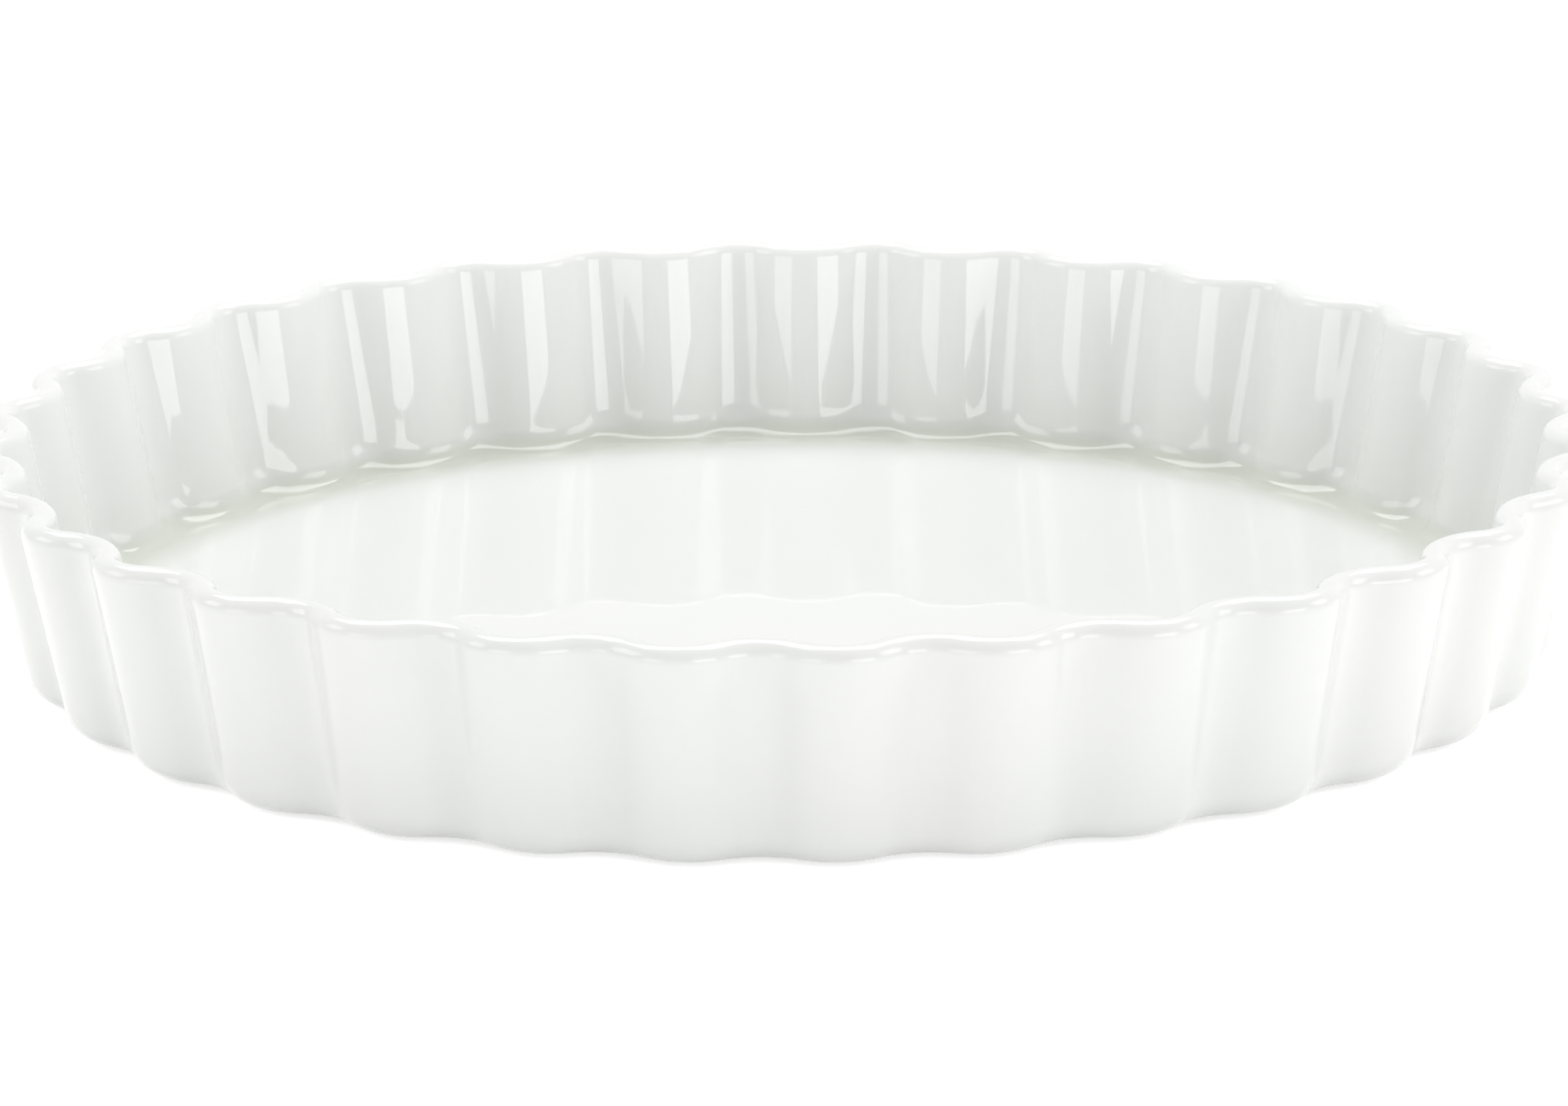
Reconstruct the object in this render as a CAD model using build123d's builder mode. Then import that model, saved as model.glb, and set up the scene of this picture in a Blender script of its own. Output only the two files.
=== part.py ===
from build123d import *
from math import asin, cos, degrees, pi, radians, sin, tan
import os

# A round fluted quiche dish in glazed porcelain, cast and fired as one piece.
# Lengths are in millimetres, +Z is up, and the origin is the middle of the foot ring, on the table.

# Rim and wall
rim_diameter = 280.0  # over two opposite flutes, before the rim is rounded
height = 39.1
wall = 4.8
wall_lean = 12.7  # degrees out from upright

# Flutes
flute_count = 32
rim_flute_depth = 4.9  # from the crest of a flute to the bottom of the valley beside it
foot_flute_depth = 3.3
flute_share = 0.56  # of one wave's two radii, and the rest is the valley's

# Outside corner and foot ring
corner_radius = 5.9
foot_ring_height = 0.6
foot_ring_width = 4.6  # at the base, from where its sides slope in to the table
foot_ring_inset = 10.0  # from the valleys of the outside wall, where it meets the base

# Floor, and the cove where the fluted wall runs down into it
floor_thickness = 4.0
floor_flute_depth = 1.3  # what is left of the flutes at the floor's edge
cove_radius = 4.3  # under the bulges of the inner wall, and larger under its grooves

# Each rounding is a few straight bands, which follow the flutes
corner_band_count = 3
cove_band_count = 2
outer_rim_band_count = 3
inner_rim_band_count = 2
band_narrowing_power = 0.8  # 1 makes a rounding's bands equal

# How far the hollow's shape runs past the rim
overrun = 3.0

lean = radians(wall_lean)
half_flute = pi / flute_count
level_wall = wall / cos(lean)
rim_rounding = wall / 2
base_level = foot_ring_height
floor_level = base_level + floor_thickness


def crest_radius_at(level):
    """From the axis to the crest of a flute, on the outside."""
    return rim_diameter / 2 - (height - level) * tan(lean)


def flute_depth_at(level):
    """The flutes fade evenly from the rim down to the foot."""
    climb_share = (level - base_level) / (height - base_level)
    return foot_flute_depth + (rim_flute_depth - foot_flute_depth) * climb_share


def wave_radii(crest, depth):
    """The radii of a flute's arc and a valley's arc, added up, for a wave of this depth."""
    half_pitch = (crest - depth / 2) * half_flute
    return (half_pitch**2 + depth**2) / (2 * depth)


def valley_radius_beside(flute_radius, flute_centre, valley_bottom):
    """The radius of a valley's arc that touches the flute's arc beside it, half a wave round the dish."""
    reach = flute_centre * cos(half_flute)
    top = flute_radius**2 - flute_centre**2 - valley_bottom**2 + 2 * reach * valley_bottom
    return top / (2 * (valley_bottom - reach - flute_radius))


def wave_face(level, crest, depth, flute_radius, inset=0):
    """A wave of arcs round the axis, each tangent to the next, drawn in by the inset."""
    flute_centre = crest - flute_radius
    valley_radius = valley_radius_beside(flute_radius, flute_centre, crest - depth)
    valley_centre = Vector(crest - depth + valley_radius, 0).rotate(Axis.Z, degrees(half_flute))
    to_valley = (valley_centre - Vector(flute_centre, 0)).normalized()
    join = Vector(flute_centre, 0) + to_valley * (flute_radius - inset)
    crest_point = Vector(crest - inset, 0)
    valley_point = Vector(crest - depth - inset, 0).rotate(Axis.Z, degrees(half_flute))
    with BuildSketch(Plane.XY.offset(level)) as face:
        with BuildLine():
            for flute in range(flute_count):
                turn = flute * degrees(2 * half_flute)
                start = Vector(join.X, -join.Y).rotate(Axis.Z, turn)
                end = join.rotate(Axis.Z, turn)
                next_start = start.rotate(Axis.Z, degrees(2 * half_flute))
                ThreePointArc(start, crest_point.rotate(Axis.Z, turn), end)
                ThreePointArc(end, valley_point.rotate(Axis.Z, turn), next_start)
        make_face()
    return face.sketch


def wall_face(level, inset):
    """The outside wall's outline, or one that keeps the same distance inside it all round."""
    crest = crest_radius_at(level)
    depth = flute_depth_at(level)
    return wave_face(level, crest, depth, flute_share * wave_radii(crest, depth), inset)


def drawn_in(radius, turn):
    """How far a rounding stands inside the wall that it leaves, once it has turned away by this angle."""
    return radius / cos(lean) * (1 - cos(turn))


def turns(whole_turn, band_count):
    """The angles that divide a rounding into bands, which get narrower as it turns away from the wall."""
    return [whole_turn * (band / band_count) ** band_narrowing_power for band in range(band_count + 1)]


# The cove has a larger radius under a groove, so that the floor's edge is nearly round
cove_reach_share = (1 - sin(lean)) / cos(lean)  # of a cove's radius, from the wall's foot to the floor's edge
groove_cove_radius = cove_radius + (flute_depth_at(floor_level) - floor_flute_depth) / cove_reach_share
cove_top = floor_level + groove_cove_radius * (1 - sin(lean))
groove_share = flute_share - level_wall / wave_radii(crest_radius_at(cove_top), flute_depth_at(cove_top))


def in_cove(level, radius):
    """How far a cove of this radius stands inside the inner wall, at a level."""
    turn = asin(max(1 - (level - floor_level) / radius, 0)) - lean
    return drawn_in(radius, max(turn, 0))


def cove_face(level):
    """The cove's outline: its grooves and its bulges each follow their own radius."""
    groove = crest_radius_at(level) - level_wall - in_cove(level, groove_cove_radius)
    bulge = crest_radius_at(level) - flute_depth_at(level) - level_wall - in_cove(level, cove_radius)
    depth = groove - bulge
    return wave_face(level, groove, depth, groove_share * wave_radii(groove, depth))


# The outside: the corner from the base up, and the wall up to the top of the rim
outside = []
for turn in reversed(turns(pi / 2 - lean, corner_band_count)):
    level = base_level + corner_radius * (1 - sin(turn + lean))
    outside.append(wall_face(level, drawn_in(corner_radius, turn)))
for turn in turns(pi / 2 + lean, outer_rim_band_count):
    level = height - rim_rounding * (1 - sin(turn - lean))
    outside.append(wall_face(level, drawn_in(rim_rounding, turn)))

# The inside: the cove from the floor up, and the wall up to the same line along the top of the rim
inside = []
for turn in reversed(turns(pi / 2 - lean, cove_band_count)):
    inside.append(cove_face(floor_level + groove_cove_radius * (1 - sin(turn + lean))))
for turn in turns(pi / 2 - lean, inner_rim_band_count):
    level = height - rim_rounding * (1 - sin(turn + lean))
    inside.append(wall_face(level, level_wall - drawn_in(rim_rounding, turn)))

with BuildPart() as hollow:
    loft(inside, ruled=True)
    extrude(hollow.faces().sort_by(Axis.Z)[-1], overrun)

foot_ring_radius = crest_radius_at(base_level) - foot_flute_depth - foot_ring_inset - foot_ring_width / 2

with BuildPart() as dish:
    loft(outside, ruled=True)
    add(hollow.part, mode=Mode.SUBTRACT)
    with BuildSketch(Plane.XZ) as foot_ring:
        with Locations((foot_ring_radius, 0)):
            Rectangle(foot_ring_width, base_level + floor_thickness / 2, align=(Align.CENTER, Align.MIN))
        chamfer(foot_ring.vertices().group_by(Axis.Y)[0], foot_ring_height)
    revolve(axis=Axis.Z)

dish.part.label = "dish"

os.makedirs("parts", exist_ok=True)
export_step(dish.part, "parts/dish.step")

inner_bulge = crest_radius_at(floor_level) - flute_depth_at(floor_level) - level_wall
floor_edge = inner_bulge - cove_radius * cove_reach_share
print("cove radius under a groove", round(groove_cove_radius, 1), "floor edge radius", round(floor_edge, 1))
print("foot ring radius", round(foot_ring_radius, 1), "volume", round(dish.part.volume / 1000, 1), "cm3")
print("size", dish.part.bounding_box().size)
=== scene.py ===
# %% [markdown]
# A fluted quiche dish in white glazed porcelain. The real one is cast in a plaster mould, dried, dipped in
# a clear glaze and fired, so it is a single piece: a flat round floor, a leaning wall that waves in and
# out, a rounded rim and a ring underneath to stand on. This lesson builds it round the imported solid, which
# fixes where the dish stands and how large it is.

# %% Load the frame
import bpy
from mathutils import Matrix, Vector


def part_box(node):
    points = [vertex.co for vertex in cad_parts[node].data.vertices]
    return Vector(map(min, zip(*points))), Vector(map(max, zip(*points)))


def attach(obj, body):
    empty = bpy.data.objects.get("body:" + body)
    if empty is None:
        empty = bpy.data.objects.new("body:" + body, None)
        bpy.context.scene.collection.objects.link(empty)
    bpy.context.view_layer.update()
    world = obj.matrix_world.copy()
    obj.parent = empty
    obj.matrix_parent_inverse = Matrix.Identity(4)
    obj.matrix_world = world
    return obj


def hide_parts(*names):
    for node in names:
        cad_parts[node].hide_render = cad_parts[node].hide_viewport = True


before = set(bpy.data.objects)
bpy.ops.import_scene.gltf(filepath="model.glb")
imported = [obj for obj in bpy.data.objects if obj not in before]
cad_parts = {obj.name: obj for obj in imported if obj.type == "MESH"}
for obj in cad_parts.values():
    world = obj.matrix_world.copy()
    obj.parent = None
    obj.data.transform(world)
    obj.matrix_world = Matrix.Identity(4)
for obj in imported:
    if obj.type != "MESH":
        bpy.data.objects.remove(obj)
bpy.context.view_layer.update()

# %% [markdown]
# Blender works in metres here. A potter thinks in millimetres, so sizes are written as a number times MM.
# The height comes from the frame, and the other sizes are those of the mould.

# %% Sizes of the mould
from math import asin, cos, degrees, pi, radians, sin, tan

import bpy
from mathutils import Matrix, Vector

MM = 0.001
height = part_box("dish")[1].z
rim_radius = 140 * MM  # to the crest of a flute, before the rim is rounded
wall = 4.8 * MM
lean = radians(12.7)
flutes = 32
rim_depth = 4.9 * MM  # of the flutes, from crest to valley
foot_depth = 3.3 * MM
flute_share = 0.56  # of a wave's two radii, and the rest is the valley's
corner_radius = 5.9 * MM
ring_height = 0.6 * MM
ring_width = 4.6 * MM
ring_inset = 10 * MM
floor_thickness = 4 * MM
floor_depth = 1.3 * MM  # of what is left of the flutes at the floor's edge
cove_radius = 4.3 * MM
floor_level = ring_height + floor_thickness
level_wall = wall / cos(lean)
rim_rounding = wall / 2
half_flute = pi / flutes
print("height in mm", round(height / MM, 2), "and half a flute in degrees", degrees(half_flute))

# %% [markdown]
# A mould maker cuts the wall with two templates, one that fits the crest of a flute and one that fits the
# valley beside it. The same idea drives this mesh. Each row of the dish is one level, with the radius at a
# crest, the radius at a valley and the radius of the flute's own arc. A cylinder pushed in and out by a
# sine would be quicker to make, but its valleys would be as wide as its flutes, and here the flutes are the
# wider ones, each a true arc. These few functions give the wall's three numbers at any level.

# %% The two templates
def crest_radius_at(level):
    return rim_radius - (height - level) * tan(lean)


def flute_depth_at(level):
    climb = (level - ring_height) / (height - ring_height)
    return foot_depth + (rim_depth - foot_depth) * climb


def wave_radii(crest, depth):
    """A flute's radius and a valley's, added up."""
    half_pitch = (crest - depth / 2) * half_flute
    return (half_pitch**2 + depth**2) / (2 * depth)


def wall_row(level, inset):
    """One level of the outside wall, or of a surface that stays the inset inside it."""
    crest = crest_radius_at(level)
    depth = flute_depth_at(level)
    flute_arc = flute_share * wave_radii(crest, depth)
    return level, crest - inset, crest - depth - inset, flute_arc - inset


def round_row(level, radius):
    """A plain circle, where crest and valley are the same."""
    return level, radius, radius, 0


print("crest radius at the floor in mm", round(crest_radius_at(floor_level) / MM, 1))

# %% [markdown]
# Soft edges make porcelain look like porcelain, because each one catches a thin highlight. Where a rounding
# leaves the wall it starts along the wall and turns away from it, and one small formula says how far it has
# drawn in. The cove is wider under a groove than under a bulge, which makes the floor's edge nearly round.
# A Bevel modifier could round a finished mesh, but it can't follow two radii at once, so the rows carry the
# roundings from the start.

# %% Roundings
rounding_steps = 10
short_turn = pi / 2 - lean  # from the wall's slope to level, at the cove, the inner rim and the corner
long_turn = pi / 2 + lean  # round the outer half of the rim


def drawn_in(radius, turn):
    """How far a rounding stands inside the wall that it leaves, once it has turned by this angle."""
    return radius / cos(lean) * (1 - cos(turn))


def turns(whole_turn):
    """The angles that divide a rounding into even steps."""
    return [whole_turn * step / rounding_steps for step in range(rounding_steps + 1)]


print("a rounding turns by", round(degrees(short_turn), 1), "or", round(degrees(long_turn), 1), "degrees")

# %% The cove, from the floor up into the grooves and bulges of the wall
cove_reach = (1 - sin(lean)) / cos(lean)  # of a cove's radius, from the wall's foot to the floor's edge
groove_cove_radius = cove_radius + (flute_depth_at(floor_level) - floor_depth) / cove_reach
cove_top = floor_level + groove_cove_radius * (1 - sin(lean))
groove_share = flute_share - level_wall / wave_radii(crest_radius_at(cove_top), flute_depth_at(cove_top))


def in_cove(level, radius):
    """How far a cove of this radius stands inside the inner wall."""
    turn = asin(max(1 - (level - floor_level) / radius, 0)) - lean
    return drawn_in(radius, max(turn, 0))


def cove_row(level):
    crest = crest_radius_at(level) - level_wall - in_cove(level, groove_cove_radius)
    valley = crest_radius_at(level) - flute_depth_at(level) - level_wall - in_cove(level, cove_radius)
    return level, crest, valley, groove_share * wave_radii(crest, crest - valley)


print("cove radius under a groove in mm", round(groove_cove_radius / MM, 1))

# %% [markdown]
# The rows now go once round the section, as a pencil would: from the middle of the floor outwards, up the
# inside, over the rim, down the outside, under the corner and in to the middle again, with the foot ring on
# the way. Blender's Screw modifier would turn such a line into a bowl, but a plain one, because it has a
# single outline and this dish has one for the crests and one for the valleys.

# %% The rows of the inside, from the middle of the floor to the top of the rim
wall_steps = 12
floor_edge = cove_row(floor_level)[2]
flat_shares = (0, 0.04, 0.25, 0.5, 0.75, 0.94)  # of the way from the middle of a flat to its edge

rows = [round_row(floor_level, floor_edge * share) for share in flat_shares]
for turn in reversed(turns(short_turn)):
    rows.append(cove_row(floor_level + groove_cove_radius * (1 - sin(turn + lean))))
rim_start = height - rim_rounding * (1 - sin(lean))
for step in range(1, wall_steps):
    rows.append(wall_row(cove_top + (rim_start - cove_top) * step / wall_steps, level_wall))
for turn in turns(short_turn):
    rim_level = height - rim_rounding * (1 - sin(turn + lean))
    rows.append(wall_row(rim_level, level_wall - drawn_in(rim_rounding, turn)))
print(len(rows), "rows up to the top of the rim")

# %% The rows of the outside, down to the base
for turn in reversed(turns(long_turn)[:-1]):
    rim_level = height - rim_rounding * (1 - sin(turn - lean))
    rows.append(wall_row(rim_level, drawn_in(rim_rounding, turn)))
wall_top = height - rim_rounding * (1 + sin(lean))
wall_foot = ring_height + corner_radius * (1 - sin(lean))
for step in range(1, wall_steps):
    rows.append(wall_row(wall_top + (wall_foot - wall_top) * step / wall_steps, 0))
for turn in turns(short_turn):
    corner_level = ring_height + corner_radius * (1 - sin(turn + lean))
    rows.append(wall_row(corner_level, drawn_in(corner_radius, turn)))
print(len(rows), "rows down to the base")

# %% The rows of the foot ring, whose sides slope, and of the base inside it
ring_gap = 0.4 * MM  # a row this near to the ring keeps the shading of the base flat beside it
ring_radius = crest_radius_at(ring_height) - foot_depth - ring_inset - ring_width / 2
ring_outer = ring_radius + ring_width / 2
ring_inner = ring_radius - ring_width / 2
for row_level, row_radius in (
    (ring_height, ring_outer + ring_gap),
    (ring_height, ring_outer),
    (0, ring_outer - ring_height),
    (0, ring_inner + ring_height),
    (ring_height, ring_inner),
    (ring_height, ring_inner - ring_gap),
):
    rows.append(round_row(row_level, row_radius))
rows += [round_row(ring_height, ring_inner * share) for share in reversed(flat_shares)]
print(len(rows), "rows in all")

# %% [markdown]
# Nodes make both the shape and the finish of the dish. Every node tree in this lesson is written with the
# same two helpers: one joins a node's socket to another node, or writes a plain value into it, and the
# other adds a node with its settings and inputs in one line.

# %% Helpers for node trees
def feed(socket, value):
    """Joins another node's output to a socket, or writes a plain value there."""
    if isinstance(value, bpy.types.NodeSocket):
        socket.id_data.links.new(value, socket)
    else:
        socket.default_value = value


def add_node(tree, kind, inputs=None, **settings):
    """Adds a node with its settings. Its inputs are named, or numbered from 0."""
    made = tree.nodes.new(kind)
    for name, value in settings.items():
        setattr(made, name, value)
    for slot, value in (inputs or {}).items():
        feed(made.inputs[slot], value)
    return made


print("the node helpers are ready")

# %% [markdown]
# Geometry Nodes turn the rows into the dish. The wave is nothing but arithmetic on each point, and
# arithmetic is hard to read as a web of Math nodes. This small helper writes it as ordinary sums: a Field
# stands for a number that the nodes will work out for every point, and each sign between two Fields adds
# one Math node.

# %% A helper for arithmetic on fields
class Field:
    """A number that Geometry Nodes work out for each point."""

    def __init__(self, tree, socket):
        self.tree = tree
        self.socket = socket

    def math(self, operation, *others):
        values = [value.socket if isinstance(value, Field) else value for value in (self, *others)]
        made = add_node(self.tree, "ShaderNodeMath", dict(enumerate(values)), operation=operation)
        return Field(self.tree, made.outputs[0])

    def __add__(self, other):
        return self.math("ADD", other)

    def __sub__(self, other):
        return self.math("SUBTRACT", other)

    def __mul__(self, other):
        return self.math("MULTIPLY", other)

    def __truediv__(self, other):
        return self.math("DIVIDE", other)


def either(condition, when_true, when_false):
    """One of two fields, point by point."""
    return when_false + (when_true - when_false) * condition


print("fields can be added, subtracted, multiplied and divided")

# %% [markdown]
# The tree takes the rows as a line of points, and spreads them over a grid that has one column for each
# step round the dish. Each quarter of a wave is one arc, half of a flute or half of a valley, and gets the
# same number of columns. For each point the tree works out where the two arcs have their centres, and how
# far round its own arc the point lies. A last step moves each point by a hair, since no glaze is as even as
# arithmetic. The same sums could be a loop in Python, but as a tree their inputs, such as the number of
# flutes, can be tried out in Blender while the modifier is live.

# %% The node tree: its inputs
tree = bpy.data.node_groups.new("Fluted dish", "GeometryNodeTree")
arc_steps = 6
unevenness = 0.05 * MM
unevenness_scale = 30.0


def tree_input(name, kind, value=None):
    socket = tree.interface.new_socket(name, in_out="INPUT", socket_type=kind)
    if value is not None:
        socket.default_value = value
    return socket.identifier


tree_input("Rows", "NodeSocketGeometry")
input_ids = {
    "Flutes": tree_input("Flutes", "NodeSocketInt", flutes),
    "Arc Steps": tree_input("Arc Steps", "NodeSocketInt", arc_steps),
    "Unevenness": tree_input("Unevenness", "NodeSocketFloat", unevenness),
    "Unevenness Scale": tree_input("Unevenness Scale", "NodeSocketFloat", unevenness_scale),
    "Glaze": tree_input("Glaze", "NodeSocketMaterial"),
}
tree.interface.new_socket("Dish", in_out="OUTPUT", socket_type="NodeSocketGeometry")
given = add_node(tree, "NodeGroupInput")


def sized(name):
    """An input of the tree, as a field."""
    return Field(tree, given.outputs[name])


print("inputs:", [item.name for item in tree.interface.items_tree if item.in_out == "INPUT"])

# %% The node tree: a grid with a column for each step and a row for each template point
count = add_node(tree, "GeometryNodeAttributeDomainSize", {0: given.outputs["Rows"]}, component="MESH")
row_count = Field(tree, count.outputs["Point Count"])
steps_in_flute = sized("Arc Steps") * 4  # half a valley, both halves of the flute, and half a valley
column_count = sized("Flutes") * steps_in_flute + 1
grid = add_node(
    tree, "GeometryNodeMeshGrid", {"Vertices X": column_count.socket, "Vertices Y": row_count.socket}
)
point = Field(tree, add_node(tree, "GeometryNodeInputIndex").outputs[0])
column = (point / row_count).math("FLOOR")
row = point - column * row_count


def from_row(name):
    """A number that the rows carry, looked up for each point of the grid."""
    named = add_node(tree, "GeometryNodeInputNamedAttribute", {"Name": name}, data_type="FLOAT")
    look_up = {"Geometry": given.outputs["Rows"], "Value": named.outputs["Attribute"], "Index": row.socket}
    sample = add_node(tree, "GeometryNodeSampleIndex", look_up, data_type="FLOAT", domain="POINT")
    return Field(tree, sample.outputs["Value"])


level = from_row("level")
crest = from_row("crest_radius")
valley = from_row("valley_radius")
flute_arc = from_row("flute_arc")
print(len(tree.nodes), "nodes so far")

# %% The node tree: the centres of a flute's arc and of the valley's arc beside it
half = Field(tree, add_node(tree, "ShaderNodeValue").outputs[0])
half.socket.default_value = pi
half = half / sized("Flutes")  # of a flute, in radians round the dish
flute_centre = crest - flute_arc
reach = flute_centre * half.math("COSINE")
difference = flute_arc * flute_arc - flute_centre * flute_centre - valley * valley + reach * valley * 2.0
valley_arc = difference / ((valley - reach - flute_arc) * 2.0)
valley_centre = valley + valley_arc
valley_x = valley_centre * half.math("COSINE")
valley_y = valley_centre * half.math("SINE")
meeting_turn = valley_y.math("ARCTAN2", valley_x - flute_centre)  # where the two arcs touch
print(len(tree.nodes), "nodes so far")

# %% The node tree: where a point lies on its wave
flute = (column / steps_in_flute).math("FLOOR")
across = (column - flute * steps_in_flute) / (steps_in_flute / 2) - 1.0  # -1 in one valley, 1 in the next
side = across.math("SIGN")
from_crest = across.math("ABSOLUTE")  # 0 on the crest, 0.5 where the arcs meet, 1 in the valley
on_flute = from_crest.math("LESS_THAN", 0.5)
flute_turn = meeting_turn * from_crest * 2.0
valley_turn = meeting_turn + (half - meeting_turn) * (from_crest * 2.0 - 1.0)
arc_turn = either(on_flute, flute_turn, valley_turn)
flute_x = flute_centre + flute_arc * arc_turn.math("COSINE")
flute_y = flute_arc * arc_turn.math("SINE")
wave_x = either(on_flute, flute_x, valley_x - valley_arc * arc_turn.math("COSINE"))
wave_y = either(on_flute, flute_y, valley_y - valley_arc * arc_turn.math("SINE"))

is_round = flute_arc.math("LESS_THAN", 0.01 * MM)  # on the rows that have no flutes
radius = either(is_round, crest, (wave_x * wave_x + wave_y * wave_y).math("SQRT"))
azimuth = either(is_round, half * from_crest, wave_y.math("ARCTAN2", wave_x)) * side + half * flute * 2.0
print(len(tree.nodes), "nodes so far")

# %% The node tree: move the grid's points there, and close the seam
coordinates = {
    "X": (radius * azimuth.math("COSINE")).socket,
    "Y": (radius * azimuth.math("SINE")).socket,
    "Z": level.socket,
}
target = add_node(tree, "ShaderNodeCombineXYZ", coordinates)
to_target = {"Geometry": grid.outputs[0], "Position": target.outputs[0]}
wrap = add_node(tree, "GeometryNodeSetPosition", to_target)
seam_gap = 0.001 * MM
merge = add_node(tree, "GeometryNodeMergeByDistance", {"Geometry": wrap.outputs[0], "Distance": seam_gap})
flip = add_node(tree, "GeometryNodeFlipFaces", {0: merge.outputs[0]})  # or the faces would look inwards
print(len(tree.nodes), "nodes so far")

# %% The node tree: the hair's breadth of unevenness, on all but what stands on the table
swirling = {"Scale": sized("Unevenness Scale").socket, "Detail": 1.0}
swirl = add_node(tree, "ShaderNodeTexNoise", swirling, noise_dimensions="3D")
hair = (Field(tree, swirl.outputs[0]) - 0.5) * sized("Unevenness") * 2.0
position = add_node(tree, "GeometryNodeInputPosition")
standing = add_node(tree, "ShaderNodeSeparateXYZ", {0: position.outputs[0]})
off_table = Field(tree, standing.outputs["Z"]).math("GREATER_THAN", ring_height / 2)
normal = add_node(tree, "GeometryNodeInputNormal")
along_normal = {0: normal.outputs[0], "Scale": (hair * off_table).socket}
push = add_node(tree, "ShaderNodeVectorMath", along_normal, operation="SCALE")
uneven = add_node(tree, "GeometryNodeSetPosition", {"Geometry": flip.outputs[0], "Offset": push.outputs[0]})
smooth = add_node(tree, "GeometryNodeSetShadeSmooth", {0: uneven.outputs[0]})
realize = add_node(tree, "GeometryNodeRealizeInstances", {0: smooth.outputs[0]})
glazing = {"Geometry": realize.outputs[0], "Material": given.outputs["Glaze"]}
paint = add_node(tree, "GeometryNodeSetMaterial", glazing)
add_node(tree, "NodeGroupOutput", {0: paint.outputs[0]})
print(len(tree.nodes), "nodes in all")

# %% [markdown]
# Glazed porcelain is a dense white body under a thin clear coat of glass. Two things tell it from white
# plastic: reflections that are sharp but weak, and a glaze that is a shade greener where it has pooled.
# Glaze runs down while it melts, so it pools at the foot of the inner wall. There the colour is also
# painted darker, as painted shade in the cove. The material finds that place by its distance from the dish's
# axis and its height. Elsewhere the white drifts by a hair, and a very low bump gives the glaze its faint
# orange peel. A photograph of glaze could be wrapped round the dish instead, but a pattern worked out from
# coordinates has no seams and stays sharp close up.

# %% The material's tree, and helpers for its patterns
glaze = bpy.data.materials.new("glazed_porcelain")


def emptied(owner):
    """The node tree of a material or a world, with nothing in it."""
    owner.use_nodes = True
    owner.node_tree.nodes.clear()
    return owner.node_tree


glaze_tree = emptied(glaze)
where = add_node(glaze_tree, "ShaderNodeTexCoord").outputs["Object"]


def noise(scale, detail, roughness=0.5):
    inputs = {"Vector": where, "Scale": scale, "Detail": detail, "Roughness": roughness}
    return add_node(glaze_tree, "ShaderNodeTexNoise", inputs).outputs[0]


def graded(value, low, high, from_low=0.0, from_high=1.0):
    """Turns one range of a value into another, and stops at both ends."""
    ends = {"Value": value, "From Min": from_low, "From Max": from_high, "To Min": low, "To Max": high}
    return add_node(glaze_tree, "ShaderNodeMapRange", ends).outputs["Result"]


print("the material reads its patterns from", where.name, "coordinates")

# %% Helpers that blend, multiply and raise
def blend_colours(amount, first, second):
    colours = {"Factor": amount, "A": first, "B": second}
    return add_node(glaze_tree, "ShaderNodeMix", colours, data_type="RGBA").outputs["Result"]


def product(so_far, *others):
    """Two or more values, multiplied."""
    for other in others:
        factors = {0: so_far, 1: other}
        so_far = add_node(glaze_tree, "ShaderNodeMath", factors, operation="MULTIPLY").outputs[0]
    return so_far


def bump(strength, distance, bumps):
    inputs = {"Strength": strength, "Distance": distance, "Height": bumps}
    return add_node(glaze_tree, "ShaderNodeBump", inputs).outputs[0]


print("the material helpers are ready")

# %% Where the glaze has pooled and the cove lies in shade, both painted into the colour
here = add_node(glaze_tree, "ShaderNodeSeparateXYZ", {0: where})
flat = add_node(glaze_tree, "ShaderNodeCombineXYZ", {"X": here.outputs["X"], "Y": here.outputs["Y"]})
length = add_node(glaze_tree, "ShaderNodeVectorMath", {0: flat.outputs[0]}, operation="LENGTH")
from_axis = length.outputs["Value"]
above_table = here.outputs["Z"]
inside_foot = crest_radius_at(floor_level) - level_wall
pool_and_shade_deepens = (floor_edge - 7 * MM, floor_edge + 1 * MM)
pool_and_shade_ends = (inside_foot - 1 * MM, inside_foot + 1 * MM)
pool_and_shade_starts_up = (floor_level - 0.8 * MM, floor_level - 0.3 * MM)  # which keeps it off the base
pool_and_shade_thins_out = (floor_level + 1.5 * MM, floor_level + 4 * MM)
# painted shade: this mask darkens the foot of the inner wall and the floor's edge, where shade falls in the
# cove, and it also marks where glaze pools
pool_and_shade = product(
    graded(from_axis, 0, 1, *pool_and_shade_deepens),
    graded(from_axis, 1, 0, *pool_and_shade_ends),
    graded(above_table, 0, 1, *pool_and_shade_starts_up),
    graded(above_table, 1, 0, *pool_and_shade_thins_out),
)
print("the pool lies", round(pool_and_shade_deepens[0] / MM, 1), "to", round(pool_and_shade_ends[1] / MM, 1), "mm off the axis")

# %% Glazed porcelain
cool_white = (0.875, 0.889, 0.868, 1)
plain_white = (0.888, 0.895, 0.882, 1)
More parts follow.
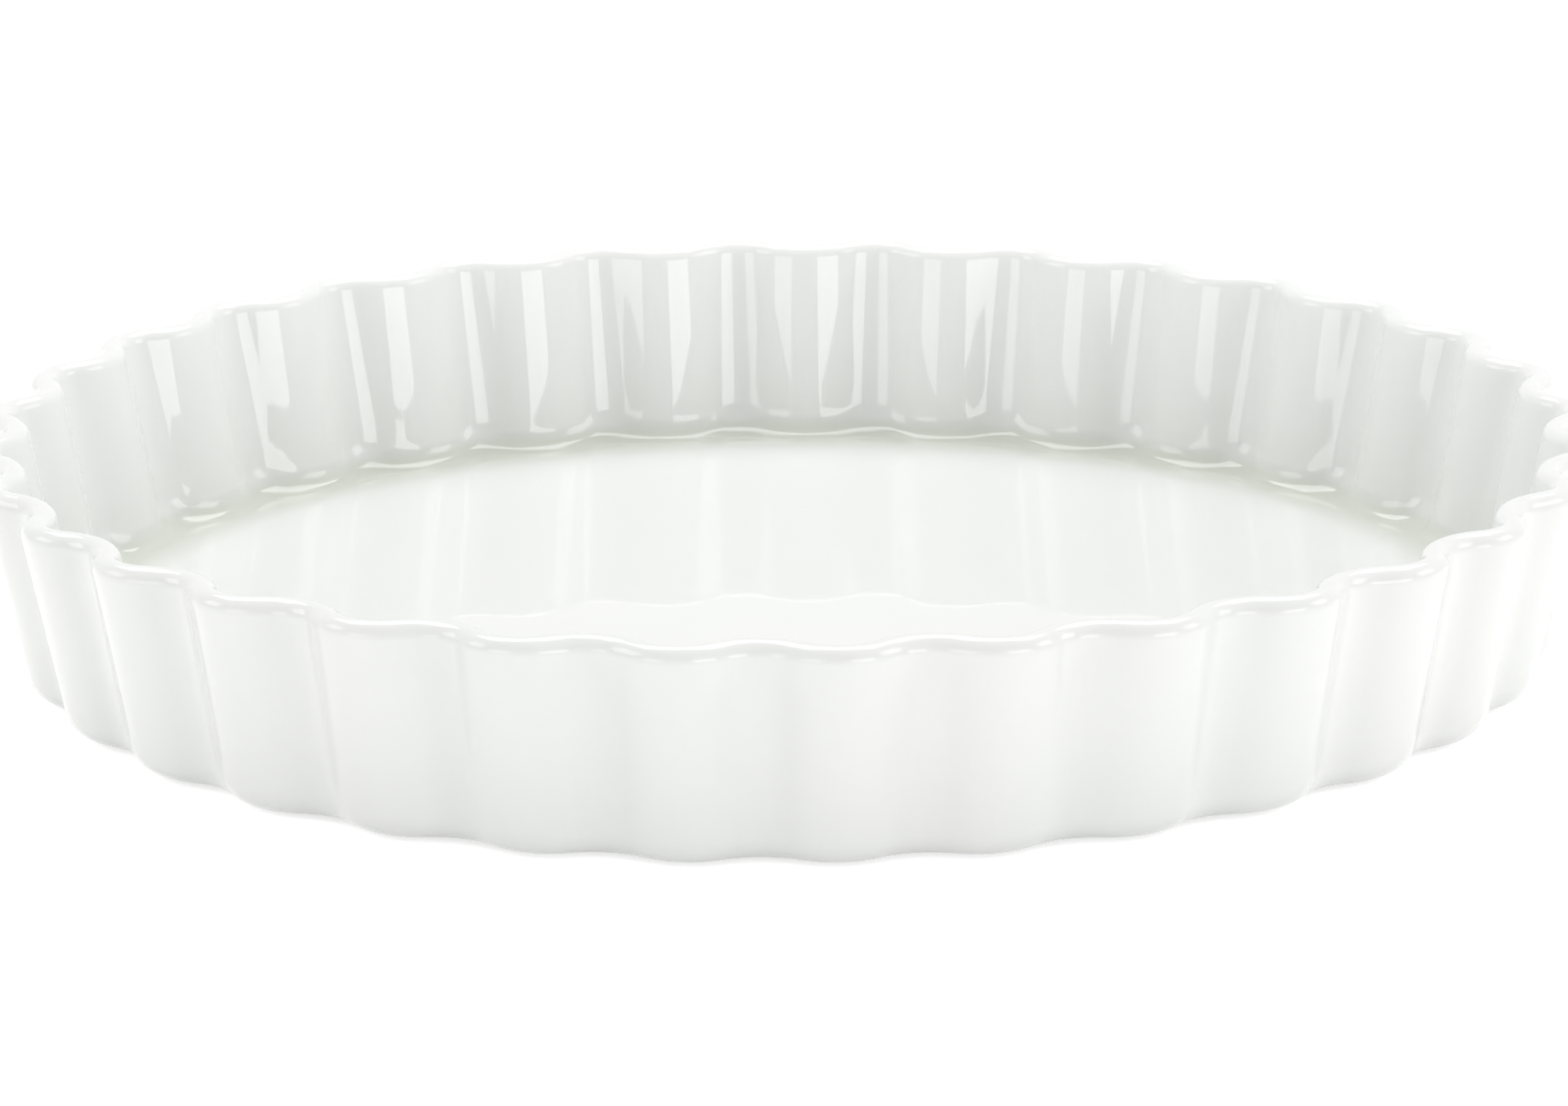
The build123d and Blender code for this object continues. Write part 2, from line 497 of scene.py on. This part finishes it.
# painted shade in the cove: darker than the glaze to stand in for the shade there, and greener as pooled
# glaze
pooled_glaze_and_shade_colour = (0.745, 0.772, 0.70, 1)
cloud = graded(noise(scale=14.0, detail=2.0), 0, 1, from_low=0.35, from_high=0.65)
even_colour = blend_colours(cloud, cool_white, plain_white)
porcelain = {
    # the colour turns greener as pooled glaze, and darker as painted shade, at the foot of the inner wall
    "Base Color": blend_colours(pool_and_shade, even_colour, pooled_glaze_and_shade_colour),
    "IOR": 1.5,
    "Roughness": graded(noise(scale=60.0, detail=2.0), low=0.012, high=0.028),
    "Normal": bump(strength=0.06, distance=0.05 * MM, bumps=noise(scale=220.0, detail=1.0)),
}
body = add_node(glaze_tree, "ShaderNodeBsdfPrincipled", porcelain)
print("the glaze takes", len(glaze_tree.nodes), "nodes")

# %% [markdown]
# The foot ring is wiped clean before firing, because glaze would fuse to the kiln shelf. So it is bare,
# matt, a little warmer, and has the fine grain of fired clay. It is part of the same piece, so both
# finishes are in one material, and the height above the table chooses between them. The wiped edge wanders
# slightly, as a sponge leaves it.

# %% The bare foot ring, in the same material
clay_dark = (0.70, 0.66, 0.60, 1)
clay_light = (0.80, 0.77, 0.72, 1)
grain = noise(scale=2600.0, detail=3.0, roughness=0.65)
bare_clay = {
    "Base Color": blend_colours(grain, clay_dark, clay_light),
    "Roughness": 0.85,
    "Normal": bump(strength=0.5, distance=0.1 * MM, bumps=grain),
}
biscuit = add_node(glaze_tree, "ShaderNodeBsdfPrincipled", bare_clay)
sponge_wander = 0.12 * MM
glaze_starts = (0.44 * MM, 0.5 * MM)  # above the table
sponge_mark = {0: noise(scale=90.0, detail=2.0), 1: sponge_wander, 2: above_table}
wiped = add_node(glaze_tree, "ShaderNodeMath", sponge_mark, operation="MULTIPLY_ADD")
glazed = graded(wiped.outputs[0], 0, 1, *glaze_starts)
finishes = {0: glazed, 1: biscuit.outputs[0], 2: body.outputs[0]}
both = add_node(glaze_tree, "ShaderNodeMixShader", finishes)
add_node(glaze_tree, "ShaderNodeOutputMaterial", {"Surface": both.outputs[0]})
print("both finishes take", len(glaze_tree.nodes), "nodes")

# %% [markdown]
# The rows become a line of points that carry their numbers, the tree turns the line into the dish, and the
# result is turned into a plain mesh that keeps no link to the nodes. The modifier could stay live, but a
# plain mesh can be measured and exported as it is.

# %% The rows as a line of points
line = bpy.data.meshes.new("dish_rows")
crest_section = [(row_crest, 0, row_level) for row_level, row_crest, *others in rows]
line.from_pydata(crest_section, [], [])
for carried, values in zip(("level", "crest_radius", "valley_radius", "flute_arc"), zip(*rows)):
    line.attributes.new(carried, "FLOAT", "POINT").data.foreach_set("value", values)
dish = bpy.data.objects.new("porcelain_dish", line)
bpy.context.scene.collection.objects.link(dish)
print(len(line.vertices), "points in the line")

# %% Make the dish
shaping = dish.modifiers.new("Fluted dish", "NODES")
shaping.node_group = tree
shaping[input_ids["Flutes"]] = flutes
shaping[input_ids["Arc Steps"]] = arc_steps
shaping[input_ids["Unevenness"]] = unevenness
shaping[input_ids["Unevenness Scale"]] = unevenness_scale
shaping[input_ids["Glaze"]] = glaze
bpy.context.view_layer.update()
evaluated = dish.evaluated_get(bpy.context.evaluated_depsgraph_get())
plain = bpy.data.meshes.new_from_object(evaluated)
plain.name = "porcelain_dish"
dish.modifiers.remove(shaping)
dish.data = plain
print(len(plain.vertices), "points and", len(plain.polygons), "faces")

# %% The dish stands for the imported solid
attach(dish, "root")
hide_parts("dish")
print("the dish rides on the only body, root")

# %% [markdown]
# The photograph shows the dish on pure white. The floor stays a real surface that takes a soft shadow and
# throws light up at the wall. Brighter lamps could make it white, but they would wash out the dish as well.
# So the floor adds enough light of its own to come out white, and only for the camera and for reflections.

# %% The floor, a flat sheet
floor_half = 3.0
floor_corners = [(-floor_half, -floor_half, 0), (floor_half, -floor_half, 0)]
floor_corners += [(floor_half, floor_half, 0), (-floor_half, floor_half, 0)]
floor_mesh = bpy.data.meshes.new("studio_floor")
floor_mesh.from_pydata(floor_corners, [], [(0, 1, 2, 3)])
studio_floor = bpy.data.objects.new("studio_floor", floor_mesh)
bpy.context.scene.collection.objects.link(studio_floor)
print("the floor is", 2 * floor_half, "m square")

# %% What the camera and reflections see
def seen_directly(tree):
    """1 for camera, glossy and transmission rays, and 0 for the rays that light the scene."""
    rays = add_node(tree, "ShaderNodeLightPath").outputs
    seen = rays["Is Camera Ray"]
    for other in (rays["Is Glossy Ray"], rays["Is Transmission Ray"]):
        seen = add_node(tree, "ShaderNodeMath", {0: seen, 1: other}, operation="MAXIMUM").outputs[0]
    return seen


print("seen_directly tells these rays from the others")

# %% The floor's white
floor_glow = 0.62
paper_white = 0.93
white = bpy.data.materials.new("studio_white")
white_tree = emptied(white)
paper_colour = (paper_white, paper_white, paper_white, 1)
paper = add_node(white_tree, "ShaderNodeBsdfDiffuse", {"Color": paper_colour})
dimmed = {0: seen_directly(white_tree), 1: floor_glow}
dim = add_node(white_tree, "ShaderNodeMath", dimmed, operation="MULTIPLY")
glow = add_node(white_tree, "ShaderNodeEmission", {"Strength": dim.outputs[0]})
paper_and_glow = add_node(white_tree, "ShaderNodeAddShader", {0: paper.outputs[0], 1: glow.outputs[0]})
add_node(white_tree, "ShaderNodeOutputMaterial", {"Surface": paper_and_glow.outputs[0]})
floor_mesh.materials.append(white)
print("the floor adds", floor_glow, "where it is seen directly")

# %% [markdown]
# A white dish needs light from all round, or one side of every flute goes grey. The world gives a low even
# glow, and a brighter band near the horizon, as the white sweep round a dish in a product studio does. The
# band lights the outside wall. A panorama of a real studio would light the dish too, but two numbers are
# easier to match to a photograph. The camera and reflections see a plain white world instead.

# %% The world
ambient = 0.38
horizon_glow = 0.84
horizon_top = 0.2  # the sine of the angle above the horizon at which the band ends
world = bpy.data.worlds.new("studio")
bpy.context.scene.world = world
world_tree = emptied(world)
around = add_node(world_tree, "ShaderNodeTexCoord")
upwards = add_node(world_tree, "ShaderNodeSeparateXYZ", {0: around.outputs["Generated"]})
fall_off = {
    "Value": upwards.outputs["Z"],
    "From Min": horizon_top / 2,
    "From Max": horizon_top,
    "To Min": ambient + horizon_glow,
    "To Max": ambient,
}
horizon = add_node(world_tree, "ShaderNodeMapRange", fall_off, interpolation_type="SMOOTHSTEP")
lit_or_seen = {"Value": seen_directly(world_tree), "To Min": horizon.outputs[0], "To Max": 1.0}
strength = add_node(world_tree, "ShaderNodeMapRange", lit_or_seen)
white_world = {"Color": (1, 1, 1, 1), "Strength": strength.outputs[0]}
background = add_node(world_tree, "ShaderNodeBackground", white_world)
add_node(world_tree, "ShaderNodeOutputWorld", {"Surface": background.outputs[0]})
print("the world gives", ambient, "and near the horizon", ambient + horizon_glow)

# %% [markdown]
# The camera stands where the photograph was taken from: a long lens, about a metre and a half away, a
# little over fifteen degrees above the dish, and turned so that a valley and not a crest faces it. It could
# be aimed by eye, but an ellipse hides mistakes, so its place was fitted to the flutes of both rims.

# %% Where the photograph was taken from
studio_turn = Matrix.Rotation(radians(-4.0), 3, "Z")
camera_place = Vector((5.75 * MM, -1439.5 * MM, 414.9 * MM + ring_height))
pitch = 0.2705  # downwards, in radians
yaw = 0.0041  # to the left
roll = 0.00925
right = Vector((cos(yaw), sin(yaw), 0))
level_ahead = Vector((-sin(yaw), cos(yaw), 0))
up = level_ahead * sin(pitch) + Vector((0, 0, cos(pitch)))
ahead = level_ahead * cos(pitch) - Vector((0, 0, sin(pitch)))
rolled_right = right * cos(roll) - up * sin(roll)
rolled_up = right * sin(roll) + up * cos(roll)
print("the camera looks down by", round(degrees(pitch), 1), "degrees")

# %% The camera
bpy.context.scene.view_settings.view_transform = "Standard"
lens = bpy.data.cameras.new("studio_camera")
lens.sensor_fit = "HORIZONTAL"
lens.sensor_width = 36.0  # mm
lens.lens = 199.2  # mm
camera = bpy.data.objects.new("studio_camera", lens)
bpy.context.scene.collection.objects.link(camera)
camera_axes = Matrix((rolled_right, rolled_up, -ahead)).transposed()
camera.matrix_world = (studio_turn @ camera_axes).to_4x4()
camera.location = studio_turn @ camera_place
bpy.context.scene.camera = camera
print("the camera stands at", tuple(round(value, 3) for value in camera.location))

# %% [markdown]
# White on white only reads through its lights. A wide panel above and a little behind gives the bright
# floor and leaves the far wall in soft shade. A panel on each side lights the ends. Two low, wide soft
# boxes stand in front, left and right of the camera's view, and the fluted wall draws them as clean strips.
# Point lamps would be simpler, but glaze would show each one as a small hot spot.

# %% The lights
def panel(name, place, aim, width, tall, radiance):
    """A soft box whose face shines with this radiance, which is what its reflection shows."""
    light = bpy.data.lights.new(name, "AREA")
    light.shape = "RECTANGLE"
    light.size = width
    light.size_y = tall
    light.energy = radiance * pi * width * tall
    lamp = bpy.data.objects.new(name, light)
    bpy.context.scene.collection.objects.link(lamp)
    lamp.location = studio_turn @ Vector(place)
    direction = studio_turn @ (Vector(aim) - Vector(place))
    lamp.rotation_euler = direction.to_track_quat("-Z", "Y").to_euler()
    print(name, round(light.energy, 1), "W")


dish_middle = (0, 0, 0)
box_height = 0.26  # of a soft box's middle, above the table
over_dish = (0, 0, box_height)
panel("overhead_panel", (0, 0.6, 1.37), dish_middle, width=1.6, tall=0.9, radiance=3.4)
panel("left_panel", (-1.33, -0.12, 0.68), dish_middle, width=0.7, tall=0.6, radiance=2.1)
panel("right_panel", (1.33, -0.12, 0.68), dish_middle, width=0.7, tall=0.6, radiance=2.4)
panel("left_softbox", (-1.0, -1.19, box_height), over_dish, width=0.8, tall=0.5, radiance=2.0)
panel("right_softbox", (0.89, -1.27, box_height), over_dish, width=0.98, tall=0.5, radiance=3.0)
